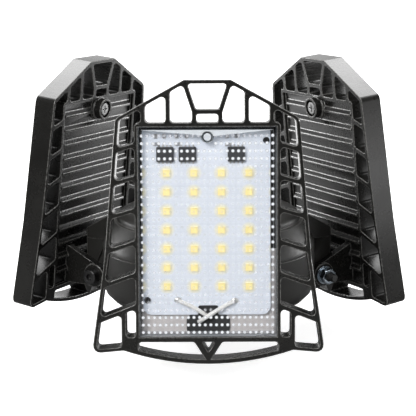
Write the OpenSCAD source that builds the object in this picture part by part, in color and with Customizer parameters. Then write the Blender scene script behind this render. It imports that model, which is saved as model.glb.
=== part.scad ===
// Folding garage light: a round hub with a screw cap on top, and three cast
// lattice panels hinged low on the hub. It is drawn with the panels folded up.
// The lamp axis is Z, and z = 0 is the lower rim of the cap's metal shell.

/* [Screw cap] */
// Diameter of the cap's metal shell
cap_d = 26.2; // [25.4:0.1:27]
// Height of the shell
cap_h = 19.5; // [16:0.5:24]
// Sheet thickness of the shell
cap_wall = 0.8; // [0.5:0.1:1.2]
// Height of the insulator above the shell
insulator_h = 3.5; // [2:0.5:5]
// Diameter of the centre contact
contact_d = 9.5; // [7:0.5:11]
// Height of the centre contact
contact_h = 2; // [1:0.5:3]

/* [Hub housing] */
// Diameter of the drum
drum_d = 100.8; // [98:0.2:102]
// Thickness of the housing walls
hub_wall = 2.4; // [2:0.1:3]
// Height of the collar between the cap and the upper housing
collar_h = 9; // [6:0.5:14]
// Diameter of the collar at its foot
collar_d = 36; // [32:0.5:40]
// Height of the domed top
dome_h = 6.5; // [5:0.5:10]
// Height of the groove under the dome
groove_h = 1.5; // [1:0.1:2.5]
// Depth of the groove under the dome
groove_in = 1.5; // [0.8:0.1:1.8]
// Diameter at the top of the sloping shoulder
shoulder_d = 89.6; // [86:0.2:92]
// Height of the sloping shoulder
shoulder_rise = 11; // [8:0.5:14]
// Height of the straight band above the seam
band_h = 2; // [1:0.5:4]
// Radius of the drum's lower edge
drum_edge_r = 9; // [6:0.5:10]
// Diameter of the cover under the drum
cover_d = 64; // [58:1:66]

/* [Hinges] */
// Distance of each hinge axis from the lamp axis
hinge_r = 53; // [52:0.5:56]
// Depth of the hinge axes below the seam
hinge_drop = 17.5; // [16:0.5:20]
// Radius of the hub's lugs round the hinge axis
lug_r = 8; // [7.2:0.1:8.6]
// Width of each lug
lug_w = 30.8; // [28:0.2:32]
// Height of a lug's outer edge above the seam
lug_edge_h = 4.3; // [3:0.1:7]
// Height above the seam at which a lug's sloping top meets the shoulder
lug_ridge_h = 12.3; // [10:0.1:13]
// Radius of the panel's ears round the hinge axis
ear_r = 5.7; // [5.2:0.1:6.2]
// Thickness of an ear without its raised seat
ear_t = 3.9; // [3:0.1:5]
// Height of the raised seat round the bolt
ear_seat = 1; // [0.5:0.1:1.5]
// Side play between an ear and its lug
ear_play = 0.1; // [0.05:0.05:0.3]
// Lower end of an ear's root, from the hinge axis
ear_low = 7; // [6:0.5:7.5]
// Upper end of an ear's root, from the hinge axis
ear_high = 12; // [10:0.5:14]
// Diameter of the hinge bolt
bolt_d = 4; // [3:0.5:4]
// Diameter of the bolt's head
bolt_head_d = 7; // [6.5:0.1:8]
// Length of the thread that stands out past the nut
bolt_spare = 4.2; // [2:0.2:6]
// Radial clearance of the bolt in its bores
bolt_play = 0.06; // [0.02:0.01:0.1]

/* [Panel casting] */
// Inward lean of a folded panel, in degrees
fold_lean = 5.7; // [4.5:0.1:6.2]
// Distance from the hinge axis to the back of the casting
back_gap = 15.7; // [15:0.1:18]
// Depth of the casting
panel_t = 10.9; // [10:0.1:13]
// Height of the tip above the hinge axis
tip_y = 101.9; // [98:0.1:104]
// Width of the flat tip
tip_w = 19.8; // [16:0.2:24]
// Height of the shoulders
shoulder_y = 86; // [84.5:0.1:88]
// Width across the shoulders
shoulder_w = 77.4; // [74:0.2:80]
// Height of the waist, where the sides begin to spread
waist_y = 27.4; // [24:0.2:32]
// Width across the waist
waist_w = 87.4; // [84:0.2:92]
// Drop of the feet below the hinge axis
foot_y = 14; // [13:0.1:16]
// Width across the feet
foot_w = 99.2; // [96:0.2:102]
// Drop of the heels, where the curved lower edge begins
heel_y = 12.8; // [12:0.1:14.5]
// Width across the heels
heel_w = 72.2; // [70:0.2:76]
// Drop of the curved lower edge at its middle
belly_y = 18.7; // [17.5:0.1:20]
// Radius of the feet
foot_r = 3; // [1:0.5:4]
// Width of the rim
rim_w = 1.6; // [1.2:0.1:2.4]
// Width of the curved lower rim
belly_w = 2; // [1.4:0.1:2.4]
// Width of the struts
strut_w = 1.9; // [1.4:0.1:2.6]
// Width of the two slanting struts in the curved lower edge
brace_w = 2.6; // [2:0.1:3]
// Corner radius of the windows
window_r = 1.5; // [0.5:0.1:1.8]
// Spacing of the side struts along the tray
strut_pitch = 13.74; // [13.4:0.02:13.9]
// Drop of the topmost side strut towards the rim
strut_drop = 2.8; // [1.5:0.1:3.5]

/* [Tray and lens] */
// Width of the lens
lens_w = 58.6; // [57.6:0.2:59.4]
// Height of the lens' upper edge above the hinge axis
lens_top = 82.3; // [81.8:0.1:83]
// Drop of the lens' lower edge below the hinge axis
lens_low = 7.1; // [6.8:0.1:7.4]
// Thickness of the lens
lens_t = 1.5; // [1:0.1:2]
// Thickness of the lens' skirt
skirt_t = 1.2; // [0.8:0.1:1.4]
// Depth of the lens' face below the rim of the casting
lens_sink = 0.3; // [0:0.1:0.8]
// Gap round the lens
lens_gap = 0.15; // [0.1:0.05:0.3]
// Thickness of the tray's side walls
tray_wall = 1.5; // [1.2:0.1:2]
// Thickness of the tray's upper wall
tray_wall_top = 1.7; // [1.3:0.1:2.2]
// Thickness of the tray's lower wall
tray_wall_low = 2.1; // [1.6:0.1:2.4]
// Depth of the relief behind the tray, in which the ribs stand
rib_relief = 1.8; // [1.2:0.1:2.4]
// Thickness of the tray's floor
tray_floor = 2; // [1.6:0.1:2.6]
// Width of a cooling rib
rib_w = 1; // [0.8:0.1:1.6]
// Depth of the ribs' crests below the casting's back
rib_sink = 0.6; // [0.3:0.1:0.9]
// Run of a rib's sloping upper side
rib_slope = 1.8; // [1:0.1:2.4]
// Spacing of the cooling ribs
rib_pitch = 7; // [6.5:0.1:8]
// Number of cooling ribs
rib_count = 12; // [8:1:12]

/* [Light board] */
// Gap between the circuit board and the skirt of the lens
board_gap = 0.2; // [0.15:0.05:0.5]
// Extra gap along the right edge of the circuit board
board_spare = 1.1; // [0:0.1:2]
// Thickness of the circuit board
board_t = 1.6; // [1:0.1:2]
// Width of the notch that the leads pass through
notch_w = 8.8; // [6:0.2:10]
// Height of the notch
notch_h = 4; // [3:0.2:5]
// Columns of light-emitting diodes
led_columns = 4; // [2:1:4]
// Rows of light-emitting diodes
led_rows = 7; // [3:1:7]
// Spacing of the columns
led_pitch_x = 11.65; // [10:0.05:13]
// Spacing of the rows
led_pitch_y = 8.1; // [6:0.1:8.5]
// Side of a diode
led_w = 3.1; // [2.6:0.1:3.6]
// Height of a diode
led_h = 0.7; // [0.5:0.1:1]
// Width of a driver chip
chip_w = 7.4; // [6.5:0.1:8]
// Length of a driver chip
chip_l = 6.2; // [5:0.1:7]
// Height of a driver chip
chip_h = 1.5; // [1:0.1:2]
// Diameter of the white leads
lead_d = 2; // [1.6:0.1:2]

/* [Grommets and screws] */
// Width of the rubber plug in the tray floor
plug_w = 18.6; // [16:0.2:20]
// Height of the rubber plug without its tongue
plug_h = 8.4; // [8:0.2:9.6]
// Thickness of the plug's flanges
plug_lip = 0.8; // [0.5:0.1:1]
// Bore of the cable bush in the lug
bush_bore = 4.4; // [3.5:0.1:5]
// Wall of the cable bush
bush_wall = 1.2; // [0.8:0.1:1.5]
// Width of the bush's flange past its body
bush_lip = 1.2; // [0.8:0.1:1.6]
// Height of the cable bush above the hinge axis
bush_y = 7.5; // [7:0.1:9]
// Outer diameter of the boss for the lens screw
boss_d = 10.2; // [9.4:0.2:10.6]
// Height of that boss behind the casting's back
boss_out = 3.2; // [2:0.1:4]
// Diameter of the lens screw
lens_screw_d = 3.2; // [2.8:0.1:3.4]
// Diameter of the screws in the circuit board
board_screw_d = 1.5; // [1.4:0.1:2]
// Diameter of the screws in the hub
small_screw_d = 2.4; // [2:0.1:2.6]

/* [Hidden] */

$fn = 48;
panel_turn = 120;                       // from one panel to the next
eps = 0.01;                             // overshoot of a cut past a face
fine_fn = 96;                           // facets of the hub's wide curves
arc_step = 30;                          // widest turn between a fillet's points
dome_steps = 10;
straight = 89;                          // half angle past which a corner is left sharp

// Heights on the lamp axis
dome_top_z = -collar_h;
shoulder_top_z = dome_top_z - dome_h - groove_h;
seam_z = shoulder_top_z - shoulder_rise - band_h;
hinge_z = seam_z - hinge_drop;
drum_bottom_z = hinge_z - lug_r;
drum_r = drum_d / 2;
cavity_r = drum_r - hub_wall;
floor_z = drum_bottom_z + hub_wall;

// Inside the hub
cover_t = hub_wall;
ledge_w = 8;                            // ring that the cover is screwed to
ledge_t = 4.4;                          // thickness of that ring
ledge_top_z = drum_bottom_z + cover_t + ledge_t;
cover_gap = 0.2;
cover_tip_gap = 1.5;                    // over the tips of the cover's screws
board_tip_gap = 0.5;                    // under the tips of the board's screws
cover_screw_r = cover_d / 2 - ledge_w / 2;
post_r = 3.4;                           // posts under the terminal board
post_h = 6.5;
post_hole_depth = 5;
terminal_board_z = ledge_top_z + post_h;
terminal_board_r = cover_screw_r + post_r;
terminal_board_t = 1.6;
between = 60;                           // from a lug to the middle of the next gap
tie_r = cavity_r - 4.2;                 // screws that tie the two housings
tie_post_r = 4.6;
tie_head_depth = 4;
tie_reach = 9;                          // thread length in the upper housing
wire_way_r = 8;                         // way for the leads up to the cap
spigot_gap = 0.1;
plug_in = 1;                            // depth of the insulator inside the shell
insulator_rim = 0.6;                    // insulator round the centre contact
contact_edge = 0.2;                     // straight edge under the contact's rounding
collar_rim = 1.4;                       // collar round the foot of the shell
collar_rim_r = 0.8;
collar_foot_in = 2;                     // where the collar flares to its foot
collar_foot_h = 3;
lead_r = 0.9;                           // leads inside the hub
lead_x = 4;
block_w = 8;
block_d = 6.5;
block_h = 7;
clamp_r = 1.3;                          // screw holes on top of a terminal block
clamp_depth = 2;
wire_hole_r = 1.1;
block_r = 19;
fuse_r = 2.6;
fuse_l = 20;
fuse_cap_l = 4;
fuse_cap_t = 0.2;
fuse_y = -4;

// Screws: head radius and head height per radius of thread
head_ratio = 1.85;
head_rise = 0.9;
cross_reach = 1.1;                      // the cross recess, per radius of thread
cross_half = 0.16;
cross_floor = 0.45;
screw_tip_gap = 0.1;                    // under the tip of a screw
thread_gap = 0.05;                      // between a screw and its tapped hole
pass_gap = 0.2;                         // between a screw and a hole it passes
small_r = small_screw_d / 2;
board_screw_r = board_screw_d / 2;
lens_screw_r = lens_screw_d / 2;
screw_depth = 1.6;                      // reach of a board screw into the tray floor
screw_seat = 3;                         // depth of the lens screw's seat behind the floor
boss_mouth_gap = 1.1;                   // round the head of the lens screw
boss_foot_w = 0.7;                      // step round the foot of the boss
tap_roof = 1;                           // lens left over the tapped hole
lens_tip_gap = 0.8;                     // between the lens screw's tip and that hole's end

// Hinge stack, measured along the hinge axis from the middle of the lug
lug_half = lug_w / 2;
ear_in = lug_half + ear_play;
ear_out = ear_in + ear_t;
seat_x = ear_out + ear_seat;
bolt_r = bolt_d / 2;
bore_r = bolt_r + bolt_play;
bolt_head_r = bolt_head_d / 2;
key_ratio = 0.433;                      // corner radius of the hex key, per bolt diameter
washer_r = 1.125 * bolt_d;
washer_t = 0.2 * bolt_d;
spring_washer_r = 0.95 * bolt_d;
spring_washer_t = 0.25 * bolt_d;
spring_split = 0.7;                     // width of the spring washer's split
nut_t = 0.8 * bolt_d;
nut_r = 1.01 * bolt_d;
nut_x = seat_x + washer_t + spring_washer_t;
bolt_end_x = nut_x + nut_t + bolt_spare;
ear_clear = 1.2;                        // round an ear, where the drum is cut back
flank_in = 0.3;                         // step from an ear's round end to its flanks
lug_corner_r = 2;
lug_depth = 16;                         // reach of a lug's root into the drum

// Layers of a panel, from its hinge axis outwards
rib_z = back_gap + rib_sink;
floor_back_z = back_gap + rib_relief;
floor_front_z = floor_back_z + tray_floor;
board_front_z = floor_front_z + board_t;
face_z = back_gap + panel_t;
rib_start = 5.7;                        // from the lens' top to the first rib
rib_end_gap = 1.8;
lens_face_z = face_z - lens_sink;
lens_back_z = lens_face_z - lens_t;

// Outline of a panel, right half
tip = [tip_w / 2, tip_y];
shoulder = [shoulder_w / 2, shoulder_y];
waist = [waist_w / 2, waist_y];
foot = [foot_w / 2, -foot_y];
heel = [heel_w / 2, -heel_y];
belly_rise = belly_y - heel_y;
belly_r = (heel[0] * heel[0] + belly_rise * belly_rise) / (2 * belly_rise);
belly_centre_y = belly_r - belly_y;
belly_steps = 16;

// Tray walls and the bars that run to the rim
tray_x = lens_w / 2 + tray_wall;
tray_top = lens_top + tray_wall_top;
tray_low = -lens_low - tray_wall_low;
strut_start = 9.2;                      // from the tray's top to the first side strut
strut_top = tray_top - strut_start;
strut_count = 6;                        // side struts, the last over the foot
strut_gain = 0.15;                      // how much faster the lower struts drop
key_x = 5.5;                            // half width of the window under the tip
key_h = 4.6;                            // height of that window
key_y = tray_top + key_h;
crown_x1 = 16.6;                        // upright bars over the tray
crown_x2 = 27.1;
heel_bar_x = heel[0] - 0.15;
brace_x = 4.2;
brace_low = -belly_y + belly_w + 0.4;
brace_r = 0.4;
crescent_x = tray_x - strut_w / 2;
crescent_r = 0.6;
crescent_steps = 6;
key_corners = 5;                        // half widths of the key window per corner radius

// Board and what it carries
skirt_x = lens_w / 2 - lens_gap - skirt_t;
board_w = 2 * skirt_x - 2 * board_gap - board_spare;
board_x = -board_spare / 2;
board_top = lens_top - lens_gap - skirt_t - board_gap;
plug_low = -lens_low + board_gap;
board_low = plug_low + plug_h + board_gap;
board_corner_r = 3.3;
board_top_r = 0.8;
slot_lip_r = 0.4;                       // open slot of the board round the lens boss
notch_lip_r = 0.5;
notch_r = 1;
lens_screw_drop = 4.4;
lens_screw_y = lens_top - lens_screw_drop;
lens_boss_r = 2.4;
board_hole_r = lens_boss_r + 0.4;
led_drop = 18.2;                        // from the board's top to the first row
led_top = board_top - led_drop;
led_x0 = -(led_columns - 1) * led_pitch_x / 2;
chip_drop = 10.2;
chip_r = 0.4;
chip_y = board_top - chip_drop;
chip_x = [-18, -8.5, 12.2];
board_screw_in = 1.8;                   // from the board's sides to its screws
board_screw_low = 6.4;
board_screw_high = 4.4;
board_screw_at = [
  [board_x - board_w / 2 + board_screw_in, board_low + board_screw_low],
  [board_x + board_w / 2 - board_screw_in, board_top - board_screw_high]
];
plug_y = plug_low + plug_h / 2;
plug_corner_r = 2.4;
plug_lip_w = 1.4;
rubber_play = 0.05;                     // round a rubber piece in its hole
tongue_x = notch_w / 2 - board_gap;
tongue_top = board_low + notch_h - board_gap;
tongue_r = 0.8;
tab_in = 7.3;                           // from the lens' side to the middle of a tab
tab_x = lens_w / 2 - tab_in;
tab_w = 3.4;
tab_out = 0.9;
tab_t = 1.7;

// Routes of the two white leads, from their pads to the plug
pad_left = [-12.9, board_low + 6.3];
pad_right = [11.4, board_low + 6];
lead_foot = floor_front_z + plug_lip;
lead_on_board = board_front_z + lead_d / 2 + 0.05;
lead_over = lens_back_z - lead_d / 2 - 0.1;
lead_under = lead_foot + lead_d / 2 + 0.1;
route_left = [
  [pad_left[0], pad_left[1], lead_on_board],
  [-10.4, board_low + 5.3, lead_on_board],
  [-7.8, board_low + 4.1, lead_on_board],
  [-5.6, board_low + 2.9, lead_on_board],
  [-3.6, board_low + 1.7, lead_on_board],
  [-2.1, board_low + 0.6, lead_under + 0.3],
  [-0.8, board_low - 0.4, lead_under],
  [0.4, board_low - 1, lead_foot + 0.8],
  [0.9, board_low - 1.3, lead_foot]
];
route_right = [
  [pad_right[0], pad_right[1], lead_on_board],
  [8.8, board_low + 4.9, lead_on_board],
  [6.2, board_low + 3.5, lead_on_board + 0.3],
  [3.6, board_low + 2, lead_over - 0.3],
  [1.4, board_low + 0.8, lead_over],
  [-0.8, board_low - 0.6, lead_over],
  [-2.4, board_low - 1.8, lead_over - 0.9],
  [-3.4, board_low - 2.6, lead_under + 0.6],
  [-3.9, board_low - 3, lead_foot + 0.8],
  [-4.1, board_low - 3.1, lead_foot]
];
lead_sides = 8;

black = [0.06, 0.06, 0.065];
hub_black = [0.1, 0.1, 0.1];
steel = [0.72, 0.72, 0.74];
rubber = [0.03, 0.03, 0.03];

// ---- plane geometry ----

function unit(v) = v / norm(v);

// Points of the fillet of radius r at the corner b between a and c
function fillet(a, b, c, r) =
  let(
    u = unit(a - b),
    v = unit(c - b),
    half = acos(max(-1, min(1, u * v))) / 2
  )
  r <= 0 || half > straight ? [b] :
  let(
    centre = b + unit(u + v) * r / sin(half),
    s = b + u * r / tan(half) - centre,
    e = b + v * r / tan(half) - centre,
    a0 = atan2(s[1], s[0]),
    turn = atan2(s[0] * e[1] - s[1] * e[0], s * e),
    steps = max(2, ceil(abs(turn) / arc_step))
  )
  [for (i = [0:steps]) centre + r * [cos(a0 + turn * i / steps), sin(a0 + turn * i / steps)]];

// A closed outline with its corners rounded; each corner is [x, y, radius]
function rounded(corners) =
  let(n = len(corners))
  [for (i = [0:n - 1])
    let(a = corners[(i + n - 1) % n], b = corners[i], c = corners[(i + 1) % n])
    each fillet([a[0], a[1]], [b[0], b[1]], [c[0], c[1]], b[2])];

// Where the line through a and b crosses the line through c and d
function crossing(a, b, c, d) =
  let(
    u = b - a,
    v = d - c,
    k = ((c[0] - a[0]) * v[1] - (c[1] - a[1]) * v[0]) / (u[0] * v[1] - u[1] * v[0])
  )
  a + k * u;

// A cell listed clockwise as [x, y, inset of the edge that leaves this corner]
function shrunk(cell, r) =
  let(
    n = len(cell),
    p = [for (c = cell) [c[0], c[1]]],
    inward = [for (i = [0:n - 1])
      let(e = unit(p[(i + 1) % n] - p[i]))
      cell[i][2] * [e[1], -e[0]]]
  )
  [for (i = [0:n - 1])
    let(
      j = (i + n - 1) % n,
      q = crossing(p[j] + inward[j], p[i] + inward[j], p[i] + inward[i], p[(i + 1) % n] + inward[i])
    )
    [q[0], q[1], r]];

function flip(points) = [for (p = points) [-p[0], p[1]]];

// Width of the panel's side at a height, and height of its slope at a width
function side_x(y) =
  y > waist_y
    ? waist[0] + (shoulder[0] - waist[0]) * (y - waist_y) / (shoulder_y - waist_y)
    : foot[0] + (waist[0] - foot[0]) * (y + foot_y) / (waist_y + foot_y);
function slope_y(x) = tip_y - (tip_y - shoulder_y) * (x - tip[0]) / (shoulder[0] - tip[0]);

// Ends of side strut i, at the tray and at the rim
function strut_in(i) = [tray_x, strut_top - i * strut_pitch];
function strut_out_y(i) = strut_top - i * strut_pitch - strut_drop - strut_gain * i * i;
function strut_out(i) = [side_x(strut_out_y(i)), strut_out_y(i)];

// The belly's edge at an angle from straight down, for a given inset
function belly_point(angle, inset) =
  [(belly_r - inset) * sin(angle), belly_centre_y - (belly_r - inset) * cos(angle)];

function flat(p, inset) = [p[0], p[1], inset];

// ---- the panel's outline and windows ----

module panel_outline() {
  heel_angle = asin(heel[0] / belly_r);
  right = [
    [tip[0], tip[1], window_r],
    [shoulder[0], shoulder[1], foot_r],
    [waist[0], waist[1], 0],
    [foot[0], foot[1], foot_r]
  ];
  left = [for (i = [len(right) - 1:-1:0]) [-right[i][0], right[i][1], right[i][2]]];
  belly = [for (i = [0:belly_steps])
    let(p = belly_point(heel_angle * (1 - 2 * i / belly_steps), 0)) [p[0], p[1], 0]];
  polygon(rounded(concat(right, belly, left)));
}

// Windows right of the middle; half = strut_w / 2 from a bar, rim_w from the rim
function crown_cells() =
  let(half = strut_w / 2)
  [
    [
      flat(tip, rim_w), [crown_x1, slope_y(crown_x1), half], [crown_x1, tray_top, 0],
      [key_x, tray_top, half], [key_x, key_y, half]
    ],
    [
      [crown_x1, slope_y(crown_x1), rim_w], [crown_x2, slope_y(crown_x2), half],
      [crown_x2, tray_top, 0], [crown_x1, tray_top, half]
    ],
    [
      [crown_x2, slope_y(crown_x2), rim_w], flat(shoulder, rim_w), flat(strut_out(0), half),
      flat(strut_in(0), 0), [tray_x, tray_top, 0], [crown_x2, tray_top, half]
    ]
  ];

function side_cells() =
  let(half = strut_w / 2)
  [for (i = [0:strut_count - 2])
    let(
      a = strut_out(i),
      b = strut_out(i + 1),
      bend = waist_y < a[1] - half && waist_y > b[1] + half ? [flat(waist, rim_w)] : []
    )
    concat([flat(strut_in(i), half), flat(a, rim_w)], bend, [flat(b, half), flat(strut_in(i + 1), 0)])];

function foot_cell() =
  let(half = strut_w / 2, a = strut_in(strut_count - 1), b = strut_out(strut_count - 1))
  let(y = a[1] + (b[1] - a[1]) * (heel_bar_x - a[0]) / (b[0] - a[0]))
  [[heel_bar_x, y, half], flat(b, rim_w), flat(foot, rim_w), [heel_bar_x, -heel_y, half]];

function slot_cell() =
  let(half = strut_w / 2, a = strut_in(strut_count - 1), b = strut_out(strut_count - 1))
  let(y = a[1] + (b[1] - a[1]) * (heel_bar_x - a[0]) / (b[0] - a[0]))
  [flat(a, half), [heel_bar_x, y, half], [heel_bar_x, -lens_low, 0], [tray_x, -lens_low, 0]];

// The long window over the belly, right of the two braces
function crescent() =
  let(
    run = unit([brace_x, tray_low - brace_low]),
    shift = brace_w / 2 * [run[1], -run[0]],
    top = [brace_x, tray_low] + shift,
    low = crossing([brace_x, tray_low] + shift, [0, brace_low] + shift,
      belly_point(1, belly_w), belly_point(2, belly_w)),
    a0 = asin(low[0] / (belly_r - belly_w)),
    a1 = asin(crescent_x / (belly_r - belly_w))
  )
  concat(
    [[top[0] + (brace_w / 2) * run[0], tray_low, window_r], [crescent_x, tray_low, window_r]],
    [for (i = [crescent_steps:-1:0])
      let(p = belly_point(a0 + (a1 - a0) * i / crescent_steps, belly_w))
      [p[0], p[1], i == crescent_steps ? crescent_r : 0]]
  );

module panel_windows() {
  half = strut_w / 2;                   // from the middle of a bar to its side
  pair = concat(crown_cells(), side_cells(), [foot_cell()]);
  middle = [
    [[-tip[0], tip_y, rim_w], [tip[0], tip_y, half], [key_x, key_y, half], [-key_x, key_y, half]],
    [[-key_x, key_y, half], [key_x, key_y, half], [key_x, tray_top, 0], [-key_x, tray_top, half]]
  ];
  for (cell = pair) {
    points = rounded(shrunk(cell, window_r));
    polygon(points);
    polygon(flip(points));
  }
  for (cell = middle) {
    polygon(rounded(shrunk(cell, min(window_r, key_x / key_corners))));
  }
  slot = rounded(shrunk(slot_cell(), window_r));
  polygon(slot);
  polygon(flip(slot));
  long_window = rounded(crescent());
  polygon(long_window);
  polygon(flip(long_window));
  brace_in = brace_w / 2 * norm([brace_x, tray_low - brace_low]) / (tray_low - brace_low);
  hole = brace_x - brace_in;
  hole_low = tray_low - hole * (tray_low - brace_low) / brace_x;
  polygon(rounded([
    [-hole, tray_low, brace_r], [hole, tray_low, brace_r], [0, hole_low, brace_r]
  ]));
}

// ---- placing ----

// Local frame at hinge i: x along the hinge axis, y up the panel, z outwards
module at_hinge(i, lean) {
  rotate([0, 0, panel_turn * i])
    translate([0, -hinge_r, hinge_z])
      rotate([90 - lean, 0, 0])
        children();
}

module on_panel(i) {
  at_hinge(i, fold_lean) children();
}

// A profile drawn as [z, y], drawn out along x to the given width
module across(width) {
  rotate([0, -90, 0])
    linear_extrude(width, center = true)
      children();
}

module rod_x(r, x0, x1) {
  translate([x0, 0, 0]) rotate([0, 90, 0]) cylinder(r = r, h = x1 - x0);
}

module block(x0, x1, y0, y1, z0, z1) {
  translate([x0, y0, z0]) cube([x1 - x0, y1 - y0, z1 - z0]);
}

module rounded_block(w, h, t, r) {
  linear_extrude(t)
    polygon(rounded([
      [-w / 2, -h / 2, r], [-w / 2, h / 2, r], [w / 2, h / 2, r], [w / 2, -h / 2, r]
    ]));
}

// A tube swept along a route of points, with flat ends
module swept_lead(route, r) {
  n = len(route);
  rings = [for (i = [0:n - 1])
    let(
      along = i == n - 1 ? [0, 0, -1] : unit(route[i + 1] - route[max(0, i - 1)]),
      side = unit(cross(along, [0, 0.35, 1])),
      rise = cross(side, along)
    )
    [for (k = [0:lead_sides - 1])
      let(a = 360 * k / lead_sides)
      route[i] + r * (cos(a) * side + sin(a) * rise)]];
  points = [for (ring = rings) each ring];
  walls = [for (i = [0:n - 2], k = [0:lead_sides - 1])
    let(j = (k + 1) % lead_sides, a = i * lead_sides, b = (i + 1) * lead_sides)
    each [[a + k, a + j, b + j], [a + k, b + j, b + k]]];
  start_cap = [for (k = [lead_sides - 1:-1:0]) k];
  end_cap = [for (k = [0:lead_sides - 1]) (n - 1) * lead_sides + k];
  polyhedron(points, concat([start_cap], walls, [end_cap]));
}

// ---- panel pieces ----

// The flanks of an ear in [z, y], from its round end to its root
function ear_outline() =
  let(
    r = ear_r - flank_in,
    root = floor_back_z + eps,
    high = [root, ear_high],
    low = [root, -ear_low],
    a0 = atan2(high[1], high[0]) + acos(r / norm(high)),
    a1 = atan2(low[1], low[0]) - acos(r / norm(low))
  )
  [high, r * [cos(a0), sin(a0)], r * [cos(a1), sin(a1)], low];

module ear(side) {
  translate([side * (ear_in + ear_t / 2), 0, 0])
    across(ear_t)
      polygon(ear_outline());
  rod_x(ear_r, side > 0 ? ear_in : -seat_x, side > 0 ? seat_x : -ear_in);
}

// A rib with a sloping upper side, its crest round the height y
module cooling_rib(y) {
  low = y - rib_w / 2;
  high = y + rib_w / 2;
  root = floor_back_z + eps;
  across(lens_w - 2 * rib_end_gap)
    polygon([[rib_z, low], [rib_z, high], [root, high + rib_slope], [root, low]]);
}

module casting_body() {
  difference() {
    translate([0, 0, back_gap])
      linear_extrude(panel_t)
        difference() {
          panel_outline();
          panel_windows();
        }
    block(-lens_w / 2, lens_w / 2, -lens_low, lens_top, floor_front_z, face_z + 1);
    block(-lens_w / 2, lens_w / 2, -lens_low, lens_top, back_gap - 1, floor_back_z);
  }
  for (i = [0:rib_count - 1]) {
    cooling_rib(lens_top - rib_start - i * rib_pitch);
  }
  for (side = [-1, 1]) {
    ear(side);
  }
  translate([0, lens_screw_y, back_gap - boss_out])
    cylinder(d = boss_d, h = boss_out + rib_relief + eps);
  translate([0, lens_screw_y, rib_z])
    cylinder(r = boss_d / 2 + boss_foot_w, h = floor_back_z - rib_z + eps);
}

module panel_frame(i) {
  seat_z = floor_back_z - screw_seat;
  color(black)
    on_panel(i)
      difference() {
        casting_body();
        rod_x(bore_r, -seat_x - 1, seat_x + 1);
        translate([0, lens_screw_y, back_gap - boss_out - 1])
          cylinder(r = lens_screw_r * head_ratio + boss_mouth_gap, h = seat_z - back_gap + boss_out + 1);
        translate([0, lens_screw_y, seat_z - eps])
          cylinder(r = lens_screw_r + pass_gap, h = floor_front_z - seat_z + 1);
        for (p = board_screw_at) {
          translate([p[0], p[1], floor_front_z - screw_depth])
            cylinder(r = board_screw_r + thread_gap, h = screw_depth + 1);
        }
        translate([0, plug_y, floor_back_z - 1])
          rounded_block(plug_w - 2 * plug_lip_w, plug_h - 2 * plug_lip_w, tray_floor + 2,
            plug_corner_r - plug_lip_w);
        for (x = [-tab_x, tab_x]) {
          block(x - tab_w / 2 - lens_gap, x + tab_w / 2 + lens_gap, -lens_low - tab_out - lens_gap,
            -lens_low + 1, lens_back_z - tab_t - lens_gap, lens_back_z + lens_gap);
        }
      }
}

module lens(i) {
  outer_w = lens_w - 2 * lens_gap;
  top = lens_top - lens_gap;
  low = -lens_low + lens_gap;
  inner = outer_w / 2 - skirt_t;
  color([0.9, 0.94, 0.97, 0.35])
    on_panel(i)
      difference() {
        union() {
          difference() {
            block(-outer_w / 2, outer_w / 2, low, top, floor_front_z, lens_face_z);
            block(-inner, inner, low + skirt_t, top - skirt_t, floor_front_z - 1, lens_back_z);
          }
          translate([0, lens_screw_y, floor_front_z])
            cylinder(r = lens_boss_r, h = lens_back_z - floor_front_z + eps);
          for (x = [-tab_x, tab_x]) {
            block(x - tab_w / 2, x + tab_w / 2, -lens_low - tab_out, low + skirt_t,
              lens_back_z - tab_t, lens_back_z);
          }
        }
        translate([0, lens_screw_y, floor_front_z - 1])
          cylinder(r = lens_screw_r + thread_gap, h = lens_back_z - tap_roof - floor_front_z + 1);
        block(-plug_w / 2 - lens_gap, plug_w / 2 + lens_gap, low - 1, low + skirt_t + 1,
          floor_front_z - 1, floor_front_z + plug_lip + lens_gap);
      }
}

module light_board(i) {
  x0 = board_x - board_w / 2;
  x1 = board_x + board_w / 2;
  notch_x = notch_w / 2;
  slot_x = board_hole_r;
  slot_y = lens_screw_y - board_hole_r;
  r = board_corner_r;
  color([0.93, 0.94, 0.95])
    on_panel(i)
      translate([0, 0, floor_front_z])
        linear_extrude(board_t)
          difference() {
            polygon(rounded([
              [x0, board_low, r], [x0, board_top, board_top_r],
              [-slot_x, board_top, slot_lip_r], [-slot_x, slot_y, slot_x - eps],
              [slot_x, slot_y, slot_x - eps], [slot_x, board_top, slot_lip_r],
              [x1, board_top, board_top_r], [x1, board_low, r],
              [notch_x, board_low, notch_lip_r], [notch_x, board_low + notch_h, notch_r],
              [-notch_x, board_low + notch_h, notch_r], [-notch_x, board_low, notch_lip_r]
            ]));
            for (p = board_screw_at) {
              translate(p) circle(r = board_screw_r + pass_gap);
            }
          }
}

module diodes(i) {
  color([1, 0.86, 0.45])
    on_panel(i)
      for (c = [0:led_columns - 1], r = [0:led_rows - 1]) {
        translate([led_x0 + c * led_pitch_x, led_top - r * led_pitch_y, board_front_z])
          translate([-led_w / 2, -led_w / 2, 0])
            cube([led_w, led_w, led_h]);
      }
}

module driver_chips(i) {
  color([0.12, 0.12, 0.13])
    on_panel(i)
      for (x = chip_x) {
        translate([x, chip_y, board_front_z])
          rounded_block(chip_w, chip_l, chip_h, chip_r);
      }
}

// A pan-head screw that points along -z, with its seat at z = 0
module screw(r, reach) {
  color(steel) {
    difference() {
      cylinder(r = r * head_ratio, h = r * head_rise);
      for (turn = [0, 90]) {
        rotate([0, 0, turn])
          translate([-r * cross_reach, -r * cross_half, r * cross_floor])
            cube([2 * r * cross_reach, 2 * r * cross_half, r]);
      }
    }
    translate([0, 0, -reach]) cylinder(r = r, h = reach + eps);
  }
}

module board_screws(i) {
  on_panel(i)
    for (p = board_screw_at) {
      translate([p[0], p[1], board_front_z]) screw(board_screw_r, board_t + screw_depth - screw_tip_gap);
    }
}

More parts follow.
